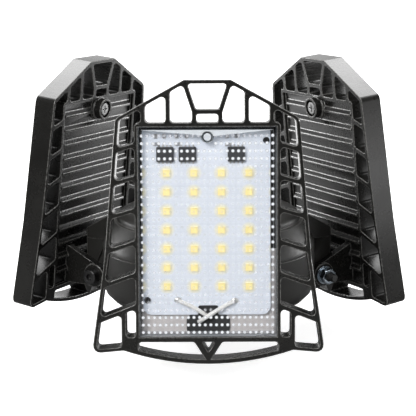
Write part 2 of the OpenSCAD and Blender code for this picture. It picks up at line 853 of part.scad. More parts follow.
module lens_screw(i) {
  seat_z = floor_back_z - screw_seat;
  on_panel(i)
    translate([0, lens_screw_y, seat_z])
      rotate([180, 0, 0])
        screw(lens_screw_r, lens_back_z - tap_roof - lens_tip_gap - seat_z);
}

// The plug's flange, with the tongue that fills the board's notch
module plug_flange() {
  x = plug_w / 2;
  y = plug_h / 2;
  top = tongue_top - plug_y;
  r = plug_corner_r;
  polygon(rounded([
    [-x, -y, r], [-x, y, r], [-tongue_x, y, board_gap], [-tongue_x, top, tongue_r],
    [tongue_x, top, tongue_r], [tongue_x, y, board_gap], [x, y, r], [x, -y, r]
  ]));
}

module wire_plug(i) {
  w = plug_w - 2 * (plug_lip_w + rubber_play);
  h = plug_h - 2 * (plug_lip_w + rubber_play);
  color(rubber)
    on_panel(i)
      translate([0, plug_y, 0]) {
        translate([0, 0, floor_front_z]) linear_extrude(plug_lip) plug_flange();
        translate([0, 0, floor_back_z - plug_lip])
          rounded_block(w, h, tray_floor + plug_lip + eps, plug_corner_r - plug_lip_w);
      }
}

module board_leads(i) {
  color([0.92, 0.92, 0.9])
    on_panel(i) {
      swept_lead(route_left, lead_d / 2);
      swept_lead(route_right, lead_d / 2);
    }
}

// ---- hinge hardware ----

module hinge_bolt(i) {
  key_r = key_ratio * bolt_d;
  color(steel)
    on_panel(i) {
      difference() {
        rod_x(bolt_head_r, seat_x, seat_x + bolt_d);
        translate([seat_x + bolt_d / 2, 0, 0])
          rotate([0, 90, 0])
            cylinder(r = key_r, h = bolt_d, $fn = 6);
      }
      rod_x(bolt_r, -bolt_end_x, seat_x + eps);
    }
}

module hinge_nut(i) {
  color(steel)
    on_panel(i)
      difference() {
        translate([-nut_x - nut_t, 0, 0])
          rotate([0, 90, 0])
            cylinder(r = nut_r, h = nut_t, $fn = 6);
        rod_x(bore_r, -nut_x - nut_t - 1, -nut_x + 1);
      }
}

module hinge_washers(i) {
  color(steel)
    on_panel(i) {
      difference() {
        rod_x(washer_r, -seat_x - washer_t, -seat_x);
        rod_x(bore_r, -seat_x - washer_t - 1, -seat_x + 1);
      }
      difference() {
        rod_x(spring_washer_r, -nut_x, -seat_x - washer_t);
        rod_x(bore_r, -nut_x - 1, -seat_x);
        block(-nut_x - 1, -seat_x, 0, washer_r, -spring_split / 2, spring_split / 2);
      }
    }
}

// ---- hub pieces ----

module upper_profile() {
  r0 = collar_d / 2 + 1;
  r1 = shoulder_d / 2 - groove_in;
  dome = [for (i = [0:dome_steps])
    let(a = 90 * i / dome_steps)
    [r0 + (r1 - r0) * cos(a), dome_top_z - dome_h + dome_h * sin(a)]];
  polygon(concat(
    [[0, seam_z], [drum_r, seam_z], [drum_r, seam_z + band_h], [shoulder_d / 2, shoulder_top_z]],
    [[r1, shoulder_top_z]],
    dome,
    [[0, dome_top_z]]
  ));
}

module upper_cavity() {
  r1 = shoulder_d / 2 - groove_in - hub_wall;
  r0 = collar_d / 2 - 1;
  dome = [for (i = [0:dome_steps])
    let(a = 90 * i / dome_steps)
    [r0 + (r1 - r0) * cos(a), dome_top_z - dome_h - hub_wall + dome_h * sin(a)]];
  polygon(concat(
    [[0, seam_z - 1], [cavity_r, seam_z - 1], [cavity_r, seam_z + band_h]],
    dome,
    [[0, dome_top_z - hub_wall]]
  ));
}

// A lug's shape above (top = true) or below the seam, in the hinge's own frame
module lug(top) {
  corner = lug_corner_r;
  ridge_z = (shoulder_d / 2 - hinge_r) + 2;
  high = hinge_drop + lug_ridge_h;
  edge = hinge_drop + lug_edge_h;
  above = [
    [lug_r, hinge_drop, 0], [-lug_depth, hinge_drop, 0], [-lug_depth, high, 0],
    [ridge_z, high, corner], [lug_r, edge, corner]
  ];
  below = [
    [lug_r, hinge_drop, 0], [lug_r, -lug_r, lug_r - eps], [-lug_depth, -lug_r, 0],
    [-lug_depth, hinge_drop, 0]
  ];
  intersection() {
    across(lug_w) polygon(rounded(top ? above : below));
    translate([0, high + 1, 0])
      rotate([90, 0, 0])
        linear_extrude(high + lug_r + 2)
          polygon(rounded([
            [-lug_half, -lug_depth - 1, 0], [-lug_half, lug_r, corner],
            [lug_half, lug_r, corner], [lug_half, -lug_depth - 1, 0]
          ]));
  }
}

module ear_relief() {
  for (side = [-1, 1]) {
    x = side > 0 ? lug_half : -seat_x - ear_clear;
    rod_x(ear_r + ear_clear, x, x + seat_x + ear_clear - lug_half);
  }
}

module at_ties() {
  for (i = [0:2]) {
    rotate([0, 0, panel_turn * i + between - 90]) translate([tie_r, 0, 0]) children();
  }
}

module at_posts() {
  for (i = [0:2]) {
    rotate([0, 0, panel_turn * i + between - 90]) translate([cover_screw_r, 0, 0]) children();
  }
}

module upper_housing() {
  color(hub_black)
    difference() {
      union() {
        difference() {
          union() {
            rotate_extrude($fn = fine_fn) upper_profile();
            for (i = [0:2]) {
              at_hinge(i, 0) lug(true);
            }
          }
          rotate_extrude($fn = fine_fn) upper_cavity();
        }
        intersection() {
          at_ties() translate([0, 0, seam_z]) cylinder(r = tie_post_r, h = shoulder_rise + dome_h + band_h);
          rotate_extrude($fn = fine_fn) upper_profile();
        }
      }
      translate([0, 0, dome_top_z - hub_wall - 1]) cylinder(r = wire_way_r, h = hub_wall + 2);
      at_ties() translate([0, 0, seam_z - 1]) cylinder(r = small_r + thread_gap, h = tie_reach + 1);
    }
}

module lower_profile(r, bottom, edge, top = seam_z) {
  polygon(rounded([[0, bottom, 0], [0, top, 0], [r, top, 0], [r, bottom, edge]]));
}

module lower_housing() {
  half_wall = hub_wall / 2;
  color(hub_black)
    difference() {
      union() {
        difference() {
          union() {
            rotate_extrude($fn = fine_fn) lower_profile(drum_r, drum_bottom_z, drum_edge_r);
            for (i = [0:2]) {
              difference() {
                at_hinge(i, 0) lug(false);
                rotate_extrude($fn = fine_fn)
                  lower_profile(drum_r - half_wall, drum_bottom_z + half_wall,
                    drum_edge_r - half_wall, seam_z + 1);
              }
            }
          }
          rotate_extrude($fn = fine_fn)
            lower_profile(cavity_r, floor_z, drum_edge_r - hub_wall, seam_z + 1);
          for (i = [0:2]) {
            at_hinge(i, 0) ear_relief();
          }
        }
        translate([0, 0, floor_z - eps]) cylinder(r = cover_d / 2 + hub_wall, h = ledge_top_z - floor_z);
        at_posts() translate([0, 0, ledge_top_z - 1]) cylinder(r = post_r, h = post_h + 1);
        intersection() {
          at_ties() translate([0, 0, drum_bottom_z]) cylinder(r = tie_post_r, h = seam_z - drum_bottom_z);
          rotate_extrude($fn = fine_fn) lower_profile(drum_r, drum_bottom_z, drum_edge_r);
        }
      }
      translate([0, 0, drum_bottom_z - 1])
        cylinder(r = cover_d / 2, h = cover_t + 1);
      translate([0, 0, drum_bottom_z])
        cylinder(r = cover_d / 2 - ledge_w, h = ledge_top_z - drum_bottom_z + 1);
      at_posts() {
        translate([0, 0, drum_bottom_z + cover_t - 1])
          cylinder(r = small_r + thread_gap, h = ledge_t);
        translate([0, 0, terminal_board_z - post_hole_depth])
          cylinder(r = small_r + thread_gap, h = post_hole_depth + 1);
      }
      at_ties() {
        translate([0, 0, drum_bottom_z - 1])
          cylinder(r = small_r * head_ratio + pass_gap, h = tie_head_depth + 1);
        translate([0, 0, drum_bottom_z])
          cylinder(r = small_r + pass_gap, h = seam_z - drum_bottom_z + 1);
      }
      for (i = [0:2]) {
        at_hinge(i, 0) {
          rod_x(bore_r, -lug_half - 1, lug_half + 1);
          translate([0, bush_y, -lug_depth])
            cylinder(d = bush_bore + 2 * bush_wall, h = lug_depth + lug_r + 1);
        }
      }
    }
}

module bottom_cover() {
  color(black)
    difference() {
      translate([0, 0, drum_bottom_z]) cylinder(r = cover_d / 2 - cover_gap, h = cover_t);
      at_posts() translate([0, 0, drum_bottom_z - 1]) cylinder(r = small_r + pass_gap, h = cover_t + 2);
    }
}

module cover_screws() {
  at_posts()
    translate([0, 0, drum_bottom_z])
      rotate([180, 0, 0])
        screw(small_r, cover_t + ledge_t - cover_tip_gap);
}

module housing_screws() {
  at_ties()
    translate([0, 0, drum_bottom_z + tie_head_depth])
      rotate([180, 0, 0])
        screw(small_r, seam_z - drum_bottom_z - tie_head_depth + tie_reach - 1);
}

module terminal_board() {
  color([0.15, 0.35, 0.2])
    difference() {
      translate([0, 0, terminal_board_z]) cylinder(r = terminal_board_r, h = terminal_board_t);
      at_posts()
        translate([0, 0, terminal_board_z - 1])
          cylinder(r = small_r + pass_gap, h = terminal_board_t + 2);
    }
}

module terminal_board_screws() {
  at_posts()
    translate([0, 0, terminal_board_z + terminal_board_t])
      screw(small_r, terminal_board_t + post_hole_depth - board_tip_gap);
}

module terminal_blocks() {
  color([0.1, 0.3, 0.6])
    for (i = [0:2]) {
      rotate([0, 0, panel_turn * i - 90])
        translate([block_r, 0, terminal_board_z + terminal_board_t])
          difference() {
            block(-block_d / 2, block_d / 2, -block_w / 2, block_w / 2, 0, block_h);
            for (y = [-block_w / 4, block_w / 4]) {
              translate([0, y, block_h - clamp_depth]) cylinder(r = clamp_r, h = block_h);
              translate([0, y, block_h / 3]) rotate([0, 90, 0]) cylinder(r = wire_hole_r, h = block_d);
            }
          }
    }
}

module fuse() {
  z = terminal_board_z + terminal_board_t + fuse_r + fuse_cap_t;
  color([0.85, 0.9, 0.92])
    translate([0, fuse_y, z]) {
      rod_x(fuse_r, -fuse_l / 2, fuse_l / 2);
      rod_x(fuse_r + fuse_cap_t, -fuse_l / 2, fuse_cap_l - fuse_l / 2);
      rod_x(fuse_r + fuse_cap_t, fuse_l / 2 - fuse_cap_l, fuse_l / 2);
    }
}

module cap_leads() {
  z = terminal_board_z + terminal_board_t;
  color([0.9, 0.9, 0.9])
    for (x = [-lead_x, lead_x]) {
      translate([x, lead_x, z]) cylinder(r = lead_r, h = cap_h - plug_in - z);
    }
}

module cable_bushes() {
  r = bush_bore / 2;
  color(rubber)
    for (i = [0:2]) {
      at_hinge(i, 0)
        translate([0, bush_y, 0])
          difference() {
            union() {
              translate([0, 0, lug_r]) cylinder(r = r + bush_wall + bush_lip, h = bush_lip);
              cylinder(r = r + bush_wall - rubber_play, h = lug_r + eps);
            }
            translate([0, 0, -1]) cylinder(r = r, h = lug_r + bush_lip + 2);
          }
    }
}

module screw_shell() {
  color([0.78, 0.78, 0.8])
    difference() {
      cylinder(d = cap_d, h = cap_h);
      translate([0, 0, -1]) cylinder(d = cap_d - 2 * cap_wall, h = cap_h + 2);
    }
}

module cap_insulator() {
  color([0.08, 0.08, 0.1])
    rotate_extrude()
      polygon([
        [0, cap_h - plug_in], [cap_d / 2 - cap_wall - spigot_gap, cap_h - plug_in],
        [cap_d / 2 - cap_wall - spigot_gap, cap_h], [cap_d / 2 - cap_wall / 2, cap_h],
        [contact_d / 2 + insulator_rim, cap_h + insulator_h], [0, cap_h + insulator_h]
      ]);
}

module centre_contact() {
  contact_r = contact_h - contact_edge;
  color([0.8, 0.72, 0.5])
    rotate_extrude()
      polygon(rounded([
        [0, cap_h + insulator_h, 0], [0, cap_h + insulator_h + contact_h, 0],
        [contact_d / 2, cap_h + insulator_h + contact_h, contact_r],
        [contact_d / 2, cap_h + insulator_h, 0]
      ]));
}

module cap_collar() {
  spigot_r = cap_d / 2 - cap_wall - spigot_gap;
  color([0.07, 0.07, 0.07])
    rotate_extrude()
      polygon(rounded([
        [wire_way_r, -collar_h, 0], [wire_way_r, cap_h - plug_in, 0], [spigot_r, cap_h - plug_in, 0],
        [spigot_r, 0, 0], [cap_d / 2 + collar_rim, 0, collar_rim_r],
        [collar_d / 2 - collar_foot_in, -collar_h + collar_foot_h, collar_foot_h],
        [collar_d / 2, -collar_h, 0]
      ]));
}

screw_shell();
cap_insulator();
centre_contact();
cap_collar();
upper_housing();
lower_housing();
bottom_cover();
cover_screws();
housing_screws();
terminal_board();
terminal_board_screws();
terminal_blocks();
fuse();
cap_leads();
cable_bushes();
panel_frame(0);  // panel_frame_a
lens(0);  // lens_a
light_board(0);  // light_board_a
diodes(0);  // diodes_a
driver_chips(0);  // driver_chips_a
board_screws(0);  // board_screws_a
lens_screw(0);  // lens_screw_a
wire_plug(0);  // wire_plug_a
board_leads(0);  // board_leads_a
hinge_bolt(0);  // hinge_bolt_a
hinge_nut(0);  // hinge_nut_a
hinge_washers(0);  // hinge_washers_a
panel_frame(1);  // panel_frame_b
lens(1);  // lens_b
light_board(1);  // light_board_b
diodes(1);  // diodes_b
driver_chips(1);  // driver_chips_b
board_screws(1);  // board_screws_b
lens_screw(1);  // lens_screw_b
wire_plug(1);  // wire_plug_b
board_leads(1);  // board_leads_b
hinge_bolt(1);  // hinge_bolt_b
hinge_nut(1);  // hinge_nut_b
hinge_washers(1);  // hinge_washers_b
panel_frame(2);  // panel_frame_c
lens(2);  // lens_c
light_board(2);  // light_board_c
diodes(2);  // diodes_c
driver_chips(2);  // driver_chips_c
board_screws(2);  // board_screws_c
lens_screw(2);  // lens_screw_c
wire_plug(2);  // wire_plug_c
board_leads(2);  // board_leads_c
hinge_bolt(2);  // hinge_bolt_c
hinge_nut(2);  // hinge_nut_c
hinge_washers(2);  // hinge_washers_c
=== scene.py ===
import bpy
import bmesh
from math import cos, hypot, pi, radians, sin, tan
from mathutils import Matrix, Vector


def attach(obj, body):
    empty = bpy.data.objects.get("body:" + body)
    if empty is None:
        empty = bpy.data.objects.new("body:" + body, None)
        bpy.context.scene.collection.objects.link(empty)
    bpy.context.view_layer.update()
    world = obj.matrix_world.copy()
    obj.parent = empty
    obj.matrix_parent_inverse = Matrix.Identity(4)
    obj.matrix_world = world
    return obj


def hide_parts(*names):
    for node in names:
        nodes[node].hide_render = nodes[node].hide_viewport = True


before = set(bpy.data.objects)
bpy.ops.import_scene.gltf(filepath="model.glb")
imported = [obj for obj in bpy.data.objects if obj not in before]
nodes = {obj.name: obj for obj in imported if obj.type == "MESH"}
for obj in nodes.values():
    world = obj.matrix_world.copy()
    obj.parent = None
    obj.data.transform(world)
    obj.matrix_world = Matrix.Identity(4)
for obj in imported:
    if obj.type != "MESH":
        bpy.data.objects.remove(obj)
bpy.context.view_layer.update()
scene = bpy.context.scene
scene.view_settings.view_transform = "Standard"
mm = 0.001                                  # the sizes below are in millimetres
panels = ["a", "b", "c"]
hubBody = "hub"

# as the solids have them: the hinge in the lamp's axes, the others in a panel's own
hinge = {"radius": 53, "height": -47.5, "lean": 5.7, "turn": 120}
layer = {"floor": 19.5, "board": 21.1, "lensBack": 24.8}
lensScrew = {"y": 77.9, "bossRadius": 2.4}


def panelPlace(index):                      # x along the hinge, y up the panel, z outwards
    turn = Matrix.Rotation(radians(hinge["turn"] * index), 4, "Z")
    out = Matrix.Translation(Vector((0, -hinge["radius"], hinge["height"])) * mm)
    lean = Matrix.Rotation(radians(90 - hinge["lean"]), 4, "X")
    return turn @ out @ lean @ Matrix.Scale(mm, 4)


hubPlace = Matrix.Scale(mm, 4)

# the camera, fitted to the photograph: its place in millimetres, its turns in degrees
view = {"eye": (2.552, -654.212, 122.383), "yaw": -0.2393, "pitch": -11.6349, "roll": -0.3222,
        "lens": 121.6, "sensor": 36}


def makeCamera():
    yaw, pitch, roll = (radians(view[k]) for k in ("yaw", "pitch", "roll"))
    forward = Vector((sin(yaw) * cos(pitch), cos(yaw) * cos(pitch), sin(pitch)))
    level = Vector((cos(yaw), -sin(yaw), 0))
    up = level.cross(forward)
    right = cos(roll) * level + sin(roll) * up
    top = cos(roll) * up - sin(roll) * level
    data = bpy.data.cameras.new("camera")
    data.lens = view["lens"]
    data.sensor_width = view["sensor"]
    camera = bpy.data.objects.new("camera", data)
    scene.collection.objects.link(camera)
    place = Matrix((right, top, -forward)).transposed().to_4x4()
    place.translation = Vector(view["eye"]) * mm
    camera.matrix_world = place
    scene.camera = camera


makeCamera()
print("camera is up")


class Wire:                                 # an output socket; sums on wires add their nodes
    def __init__(self, sheet, socket):
        self.sheet = sheet
        self.socket = socket

    def __add__(self, other): return self.sheet.sum("ADD", self, other)
    def __sub__(self, other): return self.sheet.sum("SUBTRACT", self, other)
    def __rsub__(self, other): return self.sheet.sum("SUBTRACT", other, self)
    def __mul__(self, other): return self.sheet.sum("MULTIPLY", self, other)
    def __truediv__(self, other): return self.sheet.sum("DIVIDE", self, other)
    def __gt__(self, other): return self.sheet.sum("GREATER_THAN", self, other)
    def __lt__(self, other): return self.sheet.sum("LESS_THAN", self, other)
    def __pow__(self, other): return self.sheet.sum("POWER", self, other)
    __radd__ = __add__
    __rmul__ = __mul__


class Sheet:                                # the nodes of a material, given by its name, or of a world
    def __init__(self, owner):
        self.owner = bpy.data.materials.new(owner) if isinstance(owner, str) else owner
        self.owner.use_nodes = True
        self.tree = self.owner.node_tree
        self.tree.nodes.clear()

    def add(self, kind, settings=None, inputs=None, out=0):
        node = self.tree.nodes.new(kind)
        for key, value in (settings or {}).items():
            setattr(node, key, value)
        for key, value in (inputs or {}).items():
            if isinstance(value, Wire):
                self.tree.links.new(value.socket, node.inputs[key])
            elif isinstance(value, tuple) and len(value) == 3 and node.inputs[key].type == "RGBA":
                node.inputs[key].default_value = (*value, 1)
            else:
                node.inputs[key].default_value = value
        return Wire(self, node.outputs[out]) if node.outputs else node

    def outputs(self, kind, inputs, names):
        node = self.add(kind, None, inputs).socket.node
        return [Wire(self, node.outputs[name]) for name in names]

    def sum(self, operation, first, second):
        return self.add("ShaderNodeMath", {"operation": operation}, {0: first, 1: second})

    def clamp(self, value):
        return self.add("ShaderNodeClamp", None, {"Value": value})

    def blend(self, mask, first, second):   # colours: first where the mask is 0
        return self.add("ShaderNodeMix", {"data_type": "RGBA"}, {0: mask, 6: first, 7: second}, 2)

    def spot(self, place=None):             # object coordinates, or a panel's own in millimetres
        at = self.add("ShaderNodeTexCoord", None, None, 3)
        if place is None:
            return at
        inverse = place.inverted()
        return self.add("ShaderNodeMapping", None, {
            "Vector": at, "Location": tuple(inverse.translation),
            "Rotation": tuple(inverse.to_euler()), "Scale": tuple(inverse.to_scale())})

    def axes(self, vector):
        return self.outputs("ShaderNodeSeparateXYZ", {0: vector}, "XYZ")

    def within(self, value, low, high):     # 1 between the two
        return (value > low) * (value < high)

    def noise(self, at, scale, detail=3, rough=0.5):
        return self.add("ShaderNodeTexNoise", None, {
            "Vector": at, "Scale": scale, "Detail": detail, "Roughness": rough})

    def bump(self, height, strength, depth):
        return self.add("ShaderNodeBump", None, {
            "Height": height, "Strength": strength, "Distance": depth})

    def seen(self, mirrored):               # 1 as the camera sees it, and the mask's share in reflections
        camera, glossy, through = self.outputs(
            "ShaderNodeLightPath", None, ["Is Camera Ray", "Is Glossy Ray", "Is Transmission Ray"])
        return self.clamp(camera + glossy * mirrored + through)

    def close(self, **sockets):             # the surface shader, from short names of its sockets
        names = {"color": "Base Color", "rough": "Roughness", "metal": "Metallic", "alpha": "Alpha",
                 "normal": "Normal", "coat": "Coat Weight", "glow": "Emission Color",
                 "glowPower": "Emission Strength", "specular": "Specular IOR Level"}
        surface = self.add("ShaderNodeBsdfPrincipled", None, {names[k]: v for k, v in sockets.items()})
        self.add("ShaderNodeOutputMaterial", None, {"Surface": surface})
        return self.owner


# the lighter edge colours below are painted highlight, for the shine along the rounded edges
castPaint = {"shade": (0.009, 0.0088, 0.008), "pale": (0.0165, 0.016, 0.0146), "rough": 0.27,
             "gloss": 0.36, "grain": 900, "grainDepth": 0.03, "cloud": 60,
             "dimHighlight": (0.05, 0.049, 0.046), "edge": (0.19, 0.187, 0.178), "highlightGloss": 0.7,
             "drag": (0.065, 0.064, 0.062), "dragScale": 1.6, "dragStretch": 0.06, "dragGloss": 1.0}
hubPaint = {**castPaint, "shade": (0.012, 0.0117, 0.0105), "pale": (0.018, 0.0175, 0.0158),
            "rough": 0.42, "grain": 1200, "cloud": 45,
            "dimHighlight": (0.018, 0.0175, 0.0158), "edge": (0.06, 0.058, 0.054)}


def castFinish(name, look, edgeHighlight=False, place=None):
    s = Sheet(name)
    at = s.spot()
    cloud = s.noise(at, look["cloud"], 4)
    grain = s.noise(at, look["grain"], 3, 0.6)
    shade = s.blend(s.clamp(cloud * 2 - 0.5), look["shade"], look["pale"])
    rough = look["rough"] + (cloud - 0.5) * 0.16 + (grain - 0.5) * 0.06
    gloss = look["gloss"]
    if edgeHighlight:                                # painted highlight: the rounded edges get a lighter colour, standing in for the lamps' shine along them
        shade = s.blend(s.clamp(grain * 3 - 1), look["dimHighlight"], look["edge"])
        rough = rough - 0.08
        gloss = look["highlightGloss"]
    if place is not None:                   # marks dragged along the die's pull
        along = s.add("ShaderNodeMapping", None, {
            "Vector": s.spot(place), "Scale": (1, 1, look["dragStretch"])})
        drag = s.noise(along, look["dragScale"], 4, 0.7)
        shade = s.blend(s.clamp(drag * 5 - 2.6), shade, look["drag"])
        rough = rough + (drag - 0.5) * 0.3
        gloss = look["dragGloss"]
    normal = s.bump(grain, 0.15, look["grainDepth"] * mm)
    return s.close(color=shade, rough=rough, normal=normal, specular=gloss)


castBlack = castFinish("castBlack", castPaint)
castEdge = castFinish("castEdge", castPaint, True)
hubBlack = castFinish("hubBlack", hubPaint)
hubEdge = castFinish("hubEdge", hubPaint, True)
metalWear = {"streak": 700, "stretch": (1, 1, 12), "streakDepth": 0.03, "stain": 160}


def metalFinish(name, shade, rough, dirt=0.25):
    s = Sheet(name)
    at = s.add("ShaderNodeMapping", None, {"Vector": s.spot(), "Scale": metalWear["stretch"]})
    streaks = s.noise(at, metalWear["streak"], 3, 0.7)
    stain = s.noise(s.spot(), metalWear["stain"], 4)
    dark = tuple(c * (1 - dirt) for c in shade)
    tone = s.blend(s.clamp(stain * 2.4 - 0.9), shade, dark)
    return s.close(color=tone, metal=1.0, rough=rough + (streaks - 0.5) * 0.08 + stain * 0.08,
                   normal=s.bump(streaks, 0.12, metalWear["streakDepth"] * mm))


shellMetal = metalFinish("shellMetal", (0.78, 0.77, 0.75), 0.2)
contactMetal = metalFinish("contactMetal", (0.7, 0.68, 0.63), 0.32, 0.35)
screwSteel = metalFinish("screwSteel", (0.3, 0.3, 0.3), 0.2, 0.6)
zincBright = metalFinish("zincBright", (0.5, 0.57, 0.64), 0.18, 0.3)
boltDark = metalFinish("boltDark", (0.1, 0.1, 0.1), 0.34, 0.4)
screwDark = metalFinish("screwDark", (0.13, 0.13, 0.135), 0.22, 0.3)
solder = metalFinish("solder", (0.72, 0.71, 0.7), 0.3)
plasticWear = {"cloud": 90, "grainDepth": 0.02}


def plasticFinish(name, shade, rough, grain=800, vary=0.12, coat=0.0):
    s = Sheet(name)
    at = s.spot()
    cloud = s.noise(at, plasticWear["cloud"], 3)
    speck = s.noise(at, grain, 2)
    darker = tuple(c * (1 - vary) for c in shade)
    lighter = tuple(min(1, c * (1 + vary)) for c in shade)
    return s.close(color=s.blend(cloud, darker, lighter), rough=rough + (cloud - 0.5) * 0.1,
                   normal=s.bump(speck, 0.2, plasticWear["grainDepth"] * mm), coat=coat)


insulatorBlack = plasticFinish("insulatorBlack", (0.015, 0.015, 0.018), 0.12, coat=0.5)
collarPlastic = plasticFinish("collarPlastic", (0.02, 0.02, 0.021), 0.38)
hubBoardGreen = plasticFinish("hubBoardGreen", (0.03, 0.17, 0.07), 0.3)
terminalPlastic = plasticFinish("terminalPlastic", (0.05, 0.35, 0.12), 0.35)
fuseGlass = plasticFinish("fuseGlass", (0.72, 0.74, 0.72), 0.1, coat=0.6)
leadWhite = plasticFinish("leadWhite", (0.83, 0.82, 0.8), 0.42, grain=500, vary=0.05)
rubberBlack = plasticFinish("rubberBlack", (0.014, 0.014, 0.015), 0.55)
chipBlack = plasticFinish("chipBlack", (0.045, 0.046, 0.05), 0.36)
# partly painted glow: the diode bodies are tinted yellow so that the glow round the phosphor looks round
diodeBody = plasticFinish("diodeBody", (0.9, 0.84, 0.62), 0.35, vary=0.03)
resistorBody = plasticFinish("resistorBody", (0.3, 0.31, 0.33), 0.4)
trayMetal = {"top": 30, "shade": (0.72, 0.685, 0.675), "stained": (0.6, 0.57, 0.565),
             "metal": 0.35, "rough": 0.4, "stain": 0.5}


def trayFinish(index):                      # bare metal behind the leads, painted higher up
    s = Sheet("trayFloor_" + panels[index])
    at = s.spot(panelPlace(index))
    y = s.axes(at)[1]
    bare = y < trayMetal["top"]
    stain = s.noise(at, trayMetal["stain"], 5, 0.7)
    metal = s.blend(s.clamp(stain * 3 - 1), trayMetal["shade"], trayMetal["stained"])
    return s.close(color=s.blend(bare, castPaint["shade"], metal), metal=bare * trayMetal["metal"],
                   rough=trayMetal["rough"] + (stain - 0.5) * 0.3,
                   normal=s.bump(stain, 0.2, 0.05 * mm))


phosphorLook = {"deep": (0.93, 0.77, 0.31), "pale": (0.97, 0.86, 0.43), "glow": 0.12, "speck": 2600}


# painted glow: the phosphor is given a faint glow of its own
def phosphorFinish():
    s = Sheet("phosphor")
    speck = s.noise(s.spot(), phosphorLook["speck"], 2)
    shade = s.blend(speck, phosphorLook["deep"], phosphorLook["pale"])
    return s.close(color=shade, rough=0.4, glow=shade, glowPower=phosphorLook["glow"],
                   normal=s.bump(speck, 0.3, 0.03 * mm), coat=0.3)


phosphor = phosphorFinish()
diodeGrid = {"top": 62.55, "pitchX": 11.65, "pitchY": 8.1, "rows": 7}
boardLook = {"shade": (0.735, 0.78, 0.865), "pale": (0.81, 0.85, 0.925), "cloud": 0.12, "rough": 0.33,
             "paintedShade": (0.53, 0.585, 0.66), "shadeAbove": 73, "shadeAboveFade": 9, "shadeLeft": -23.5,
             "shadeLeftFade": 4, "gap": (0.62, 0.68, 0.77), "gapWidth": 0.12,
             "paintedGlow": (0.96, 0.88, 0.57), "glowRadius": 3.6, "glowFade": 1.9, "glowReach": 3}


def boardFinish(index):                     # white mask over copper, with painted shade towards the top and left edges and a painted glow round the diodes
    s = Sheet("boardWhite_" + panels[index])
    at = s.spot(panelPlace(index))
    x, y = s.axes(at)[:2]
    wide = diodeGrid["pitchX"]
    high = diodeGrid["pitchY"]
    top = diodeGrid["top"]
    bottom = top - high * (diodeGrid["rows"] - 1)
    cloud = s.noise(at, boardLook["cloud"], 3)
    copper = s.add("ShaderNodeTexBrick", {"offset": 0.0}, {
        "Vector": at, "Scale": 1.0, "Mortar Size": boardLook["gapWidth"], "Mortar Smooth": 0.4,
        "Brick Width": wide, "Row Height": high, "Color1": (1, 1, 1), "Color2": (1, 1, 1),
        "Mortar": (0, 0, 0)})
    shade = s.blend(cloud, boardLook["shade"], boardLook["pale"])
    # painted shade: the board darker towards its top, under the casting's rim, and towards its left edge
    shadeAbove = s.clamp((y - boardLook["shadeAbove"]) / boardLook["shadeAboveFade"])
    shadeLeft = s.clamp((boardLook["shadeLeft"] - x) / boardLook["shadeLeftFade"])
    shade = s.blend(s.clamp(shadeAbove * 0.6 + shadeLeft * 0.4), shade, boardLook["paintedShade"])
    shade = s.blend((1 - copper) * 0.25, shade, boardLook["gap"])
    # painted glow: a warm yellow pool of light on the board round each diode
    dx = wide / 2 - s.sum("PINGPONG", x, wide / 2)
    dy = s.sum("PINGPONG", top - y, high / 2)
    away = (dx ** 2 + dy * dy) ** 0.5
    paintedGlow = s.clamp((boardLook["glowRadius"] - away) / boardLook["glowFade"])
    paintedGlow = paintedGlow * s.within(y, bottom - boardLook["glowReach"], top + boardLook["glowReach"])
    shade = s.blend(paintedGlow * 0.8, shade, boardLook["paintedGlow"])
    return s.close(color=shade, rough=boardLook["rough"] + cloud * 0.1,
                   normal=s.bump(copper, 0.4, 0.03 * mm))


lensPlastic = {"shade": (0.88, 0.92, 0.96), "rough": 0.05, "cloud": 70, "ior": 1.49, "rim": 0.3}


def lensFinish(name, least):                # painted reflection: the plastic's pale colour shows more towards grazing angles, standing in for what it reflects there
    s = Sheet(name)
    cloud = s.noise(s.spot(), lensPlastic["cloud"], 3)
    rim = s.add("ShaderNodeFresnel", None, {"IOR": lensPlastic["ior"]})
    return s.close(color=lensPlastic["shade"], rough=lensPlastic["rough"] + cloud * 0.04,
                   alpha=s.clamp(least + rim * lensPlastic["rim"] - 0.008))


lensClear = lensFinish("lensClear", 0.0)
# painted highlight: the skirt shows more of the pale colour all over, for the bright line along the lens's
# edge
lensSkirt = lensFinish("lensSkirt", 0.25)
lensBoss = lensFinish("lensBoss", 0.8)
lensDots = {"x": 1.1, "y": -2.1, "pitchX": 2.4, "pitchY": 3.225, "radius": 0.85, "taper": 0.6,
            "rise": 0.3, "gap": 0.02, "columns": range(-12, 12), "rows": range(-1, 26), "sides": 10}
dotGlintLook = {"shade": (0.9, 0.92, 0.95), "core": 0.5, "fade": 0.25, "alpha": 0.92, "haze": 0.02,
           "boardFrom": 3.5, "boardFade": 0.5, "boardSides": (-27.6, 26.2), "chipRow": (66, 76),
           "overBoard": 0.7, "diodeSides": (-20, 20), "diodeRows": (11, 66), "overDiodes": 0.14}


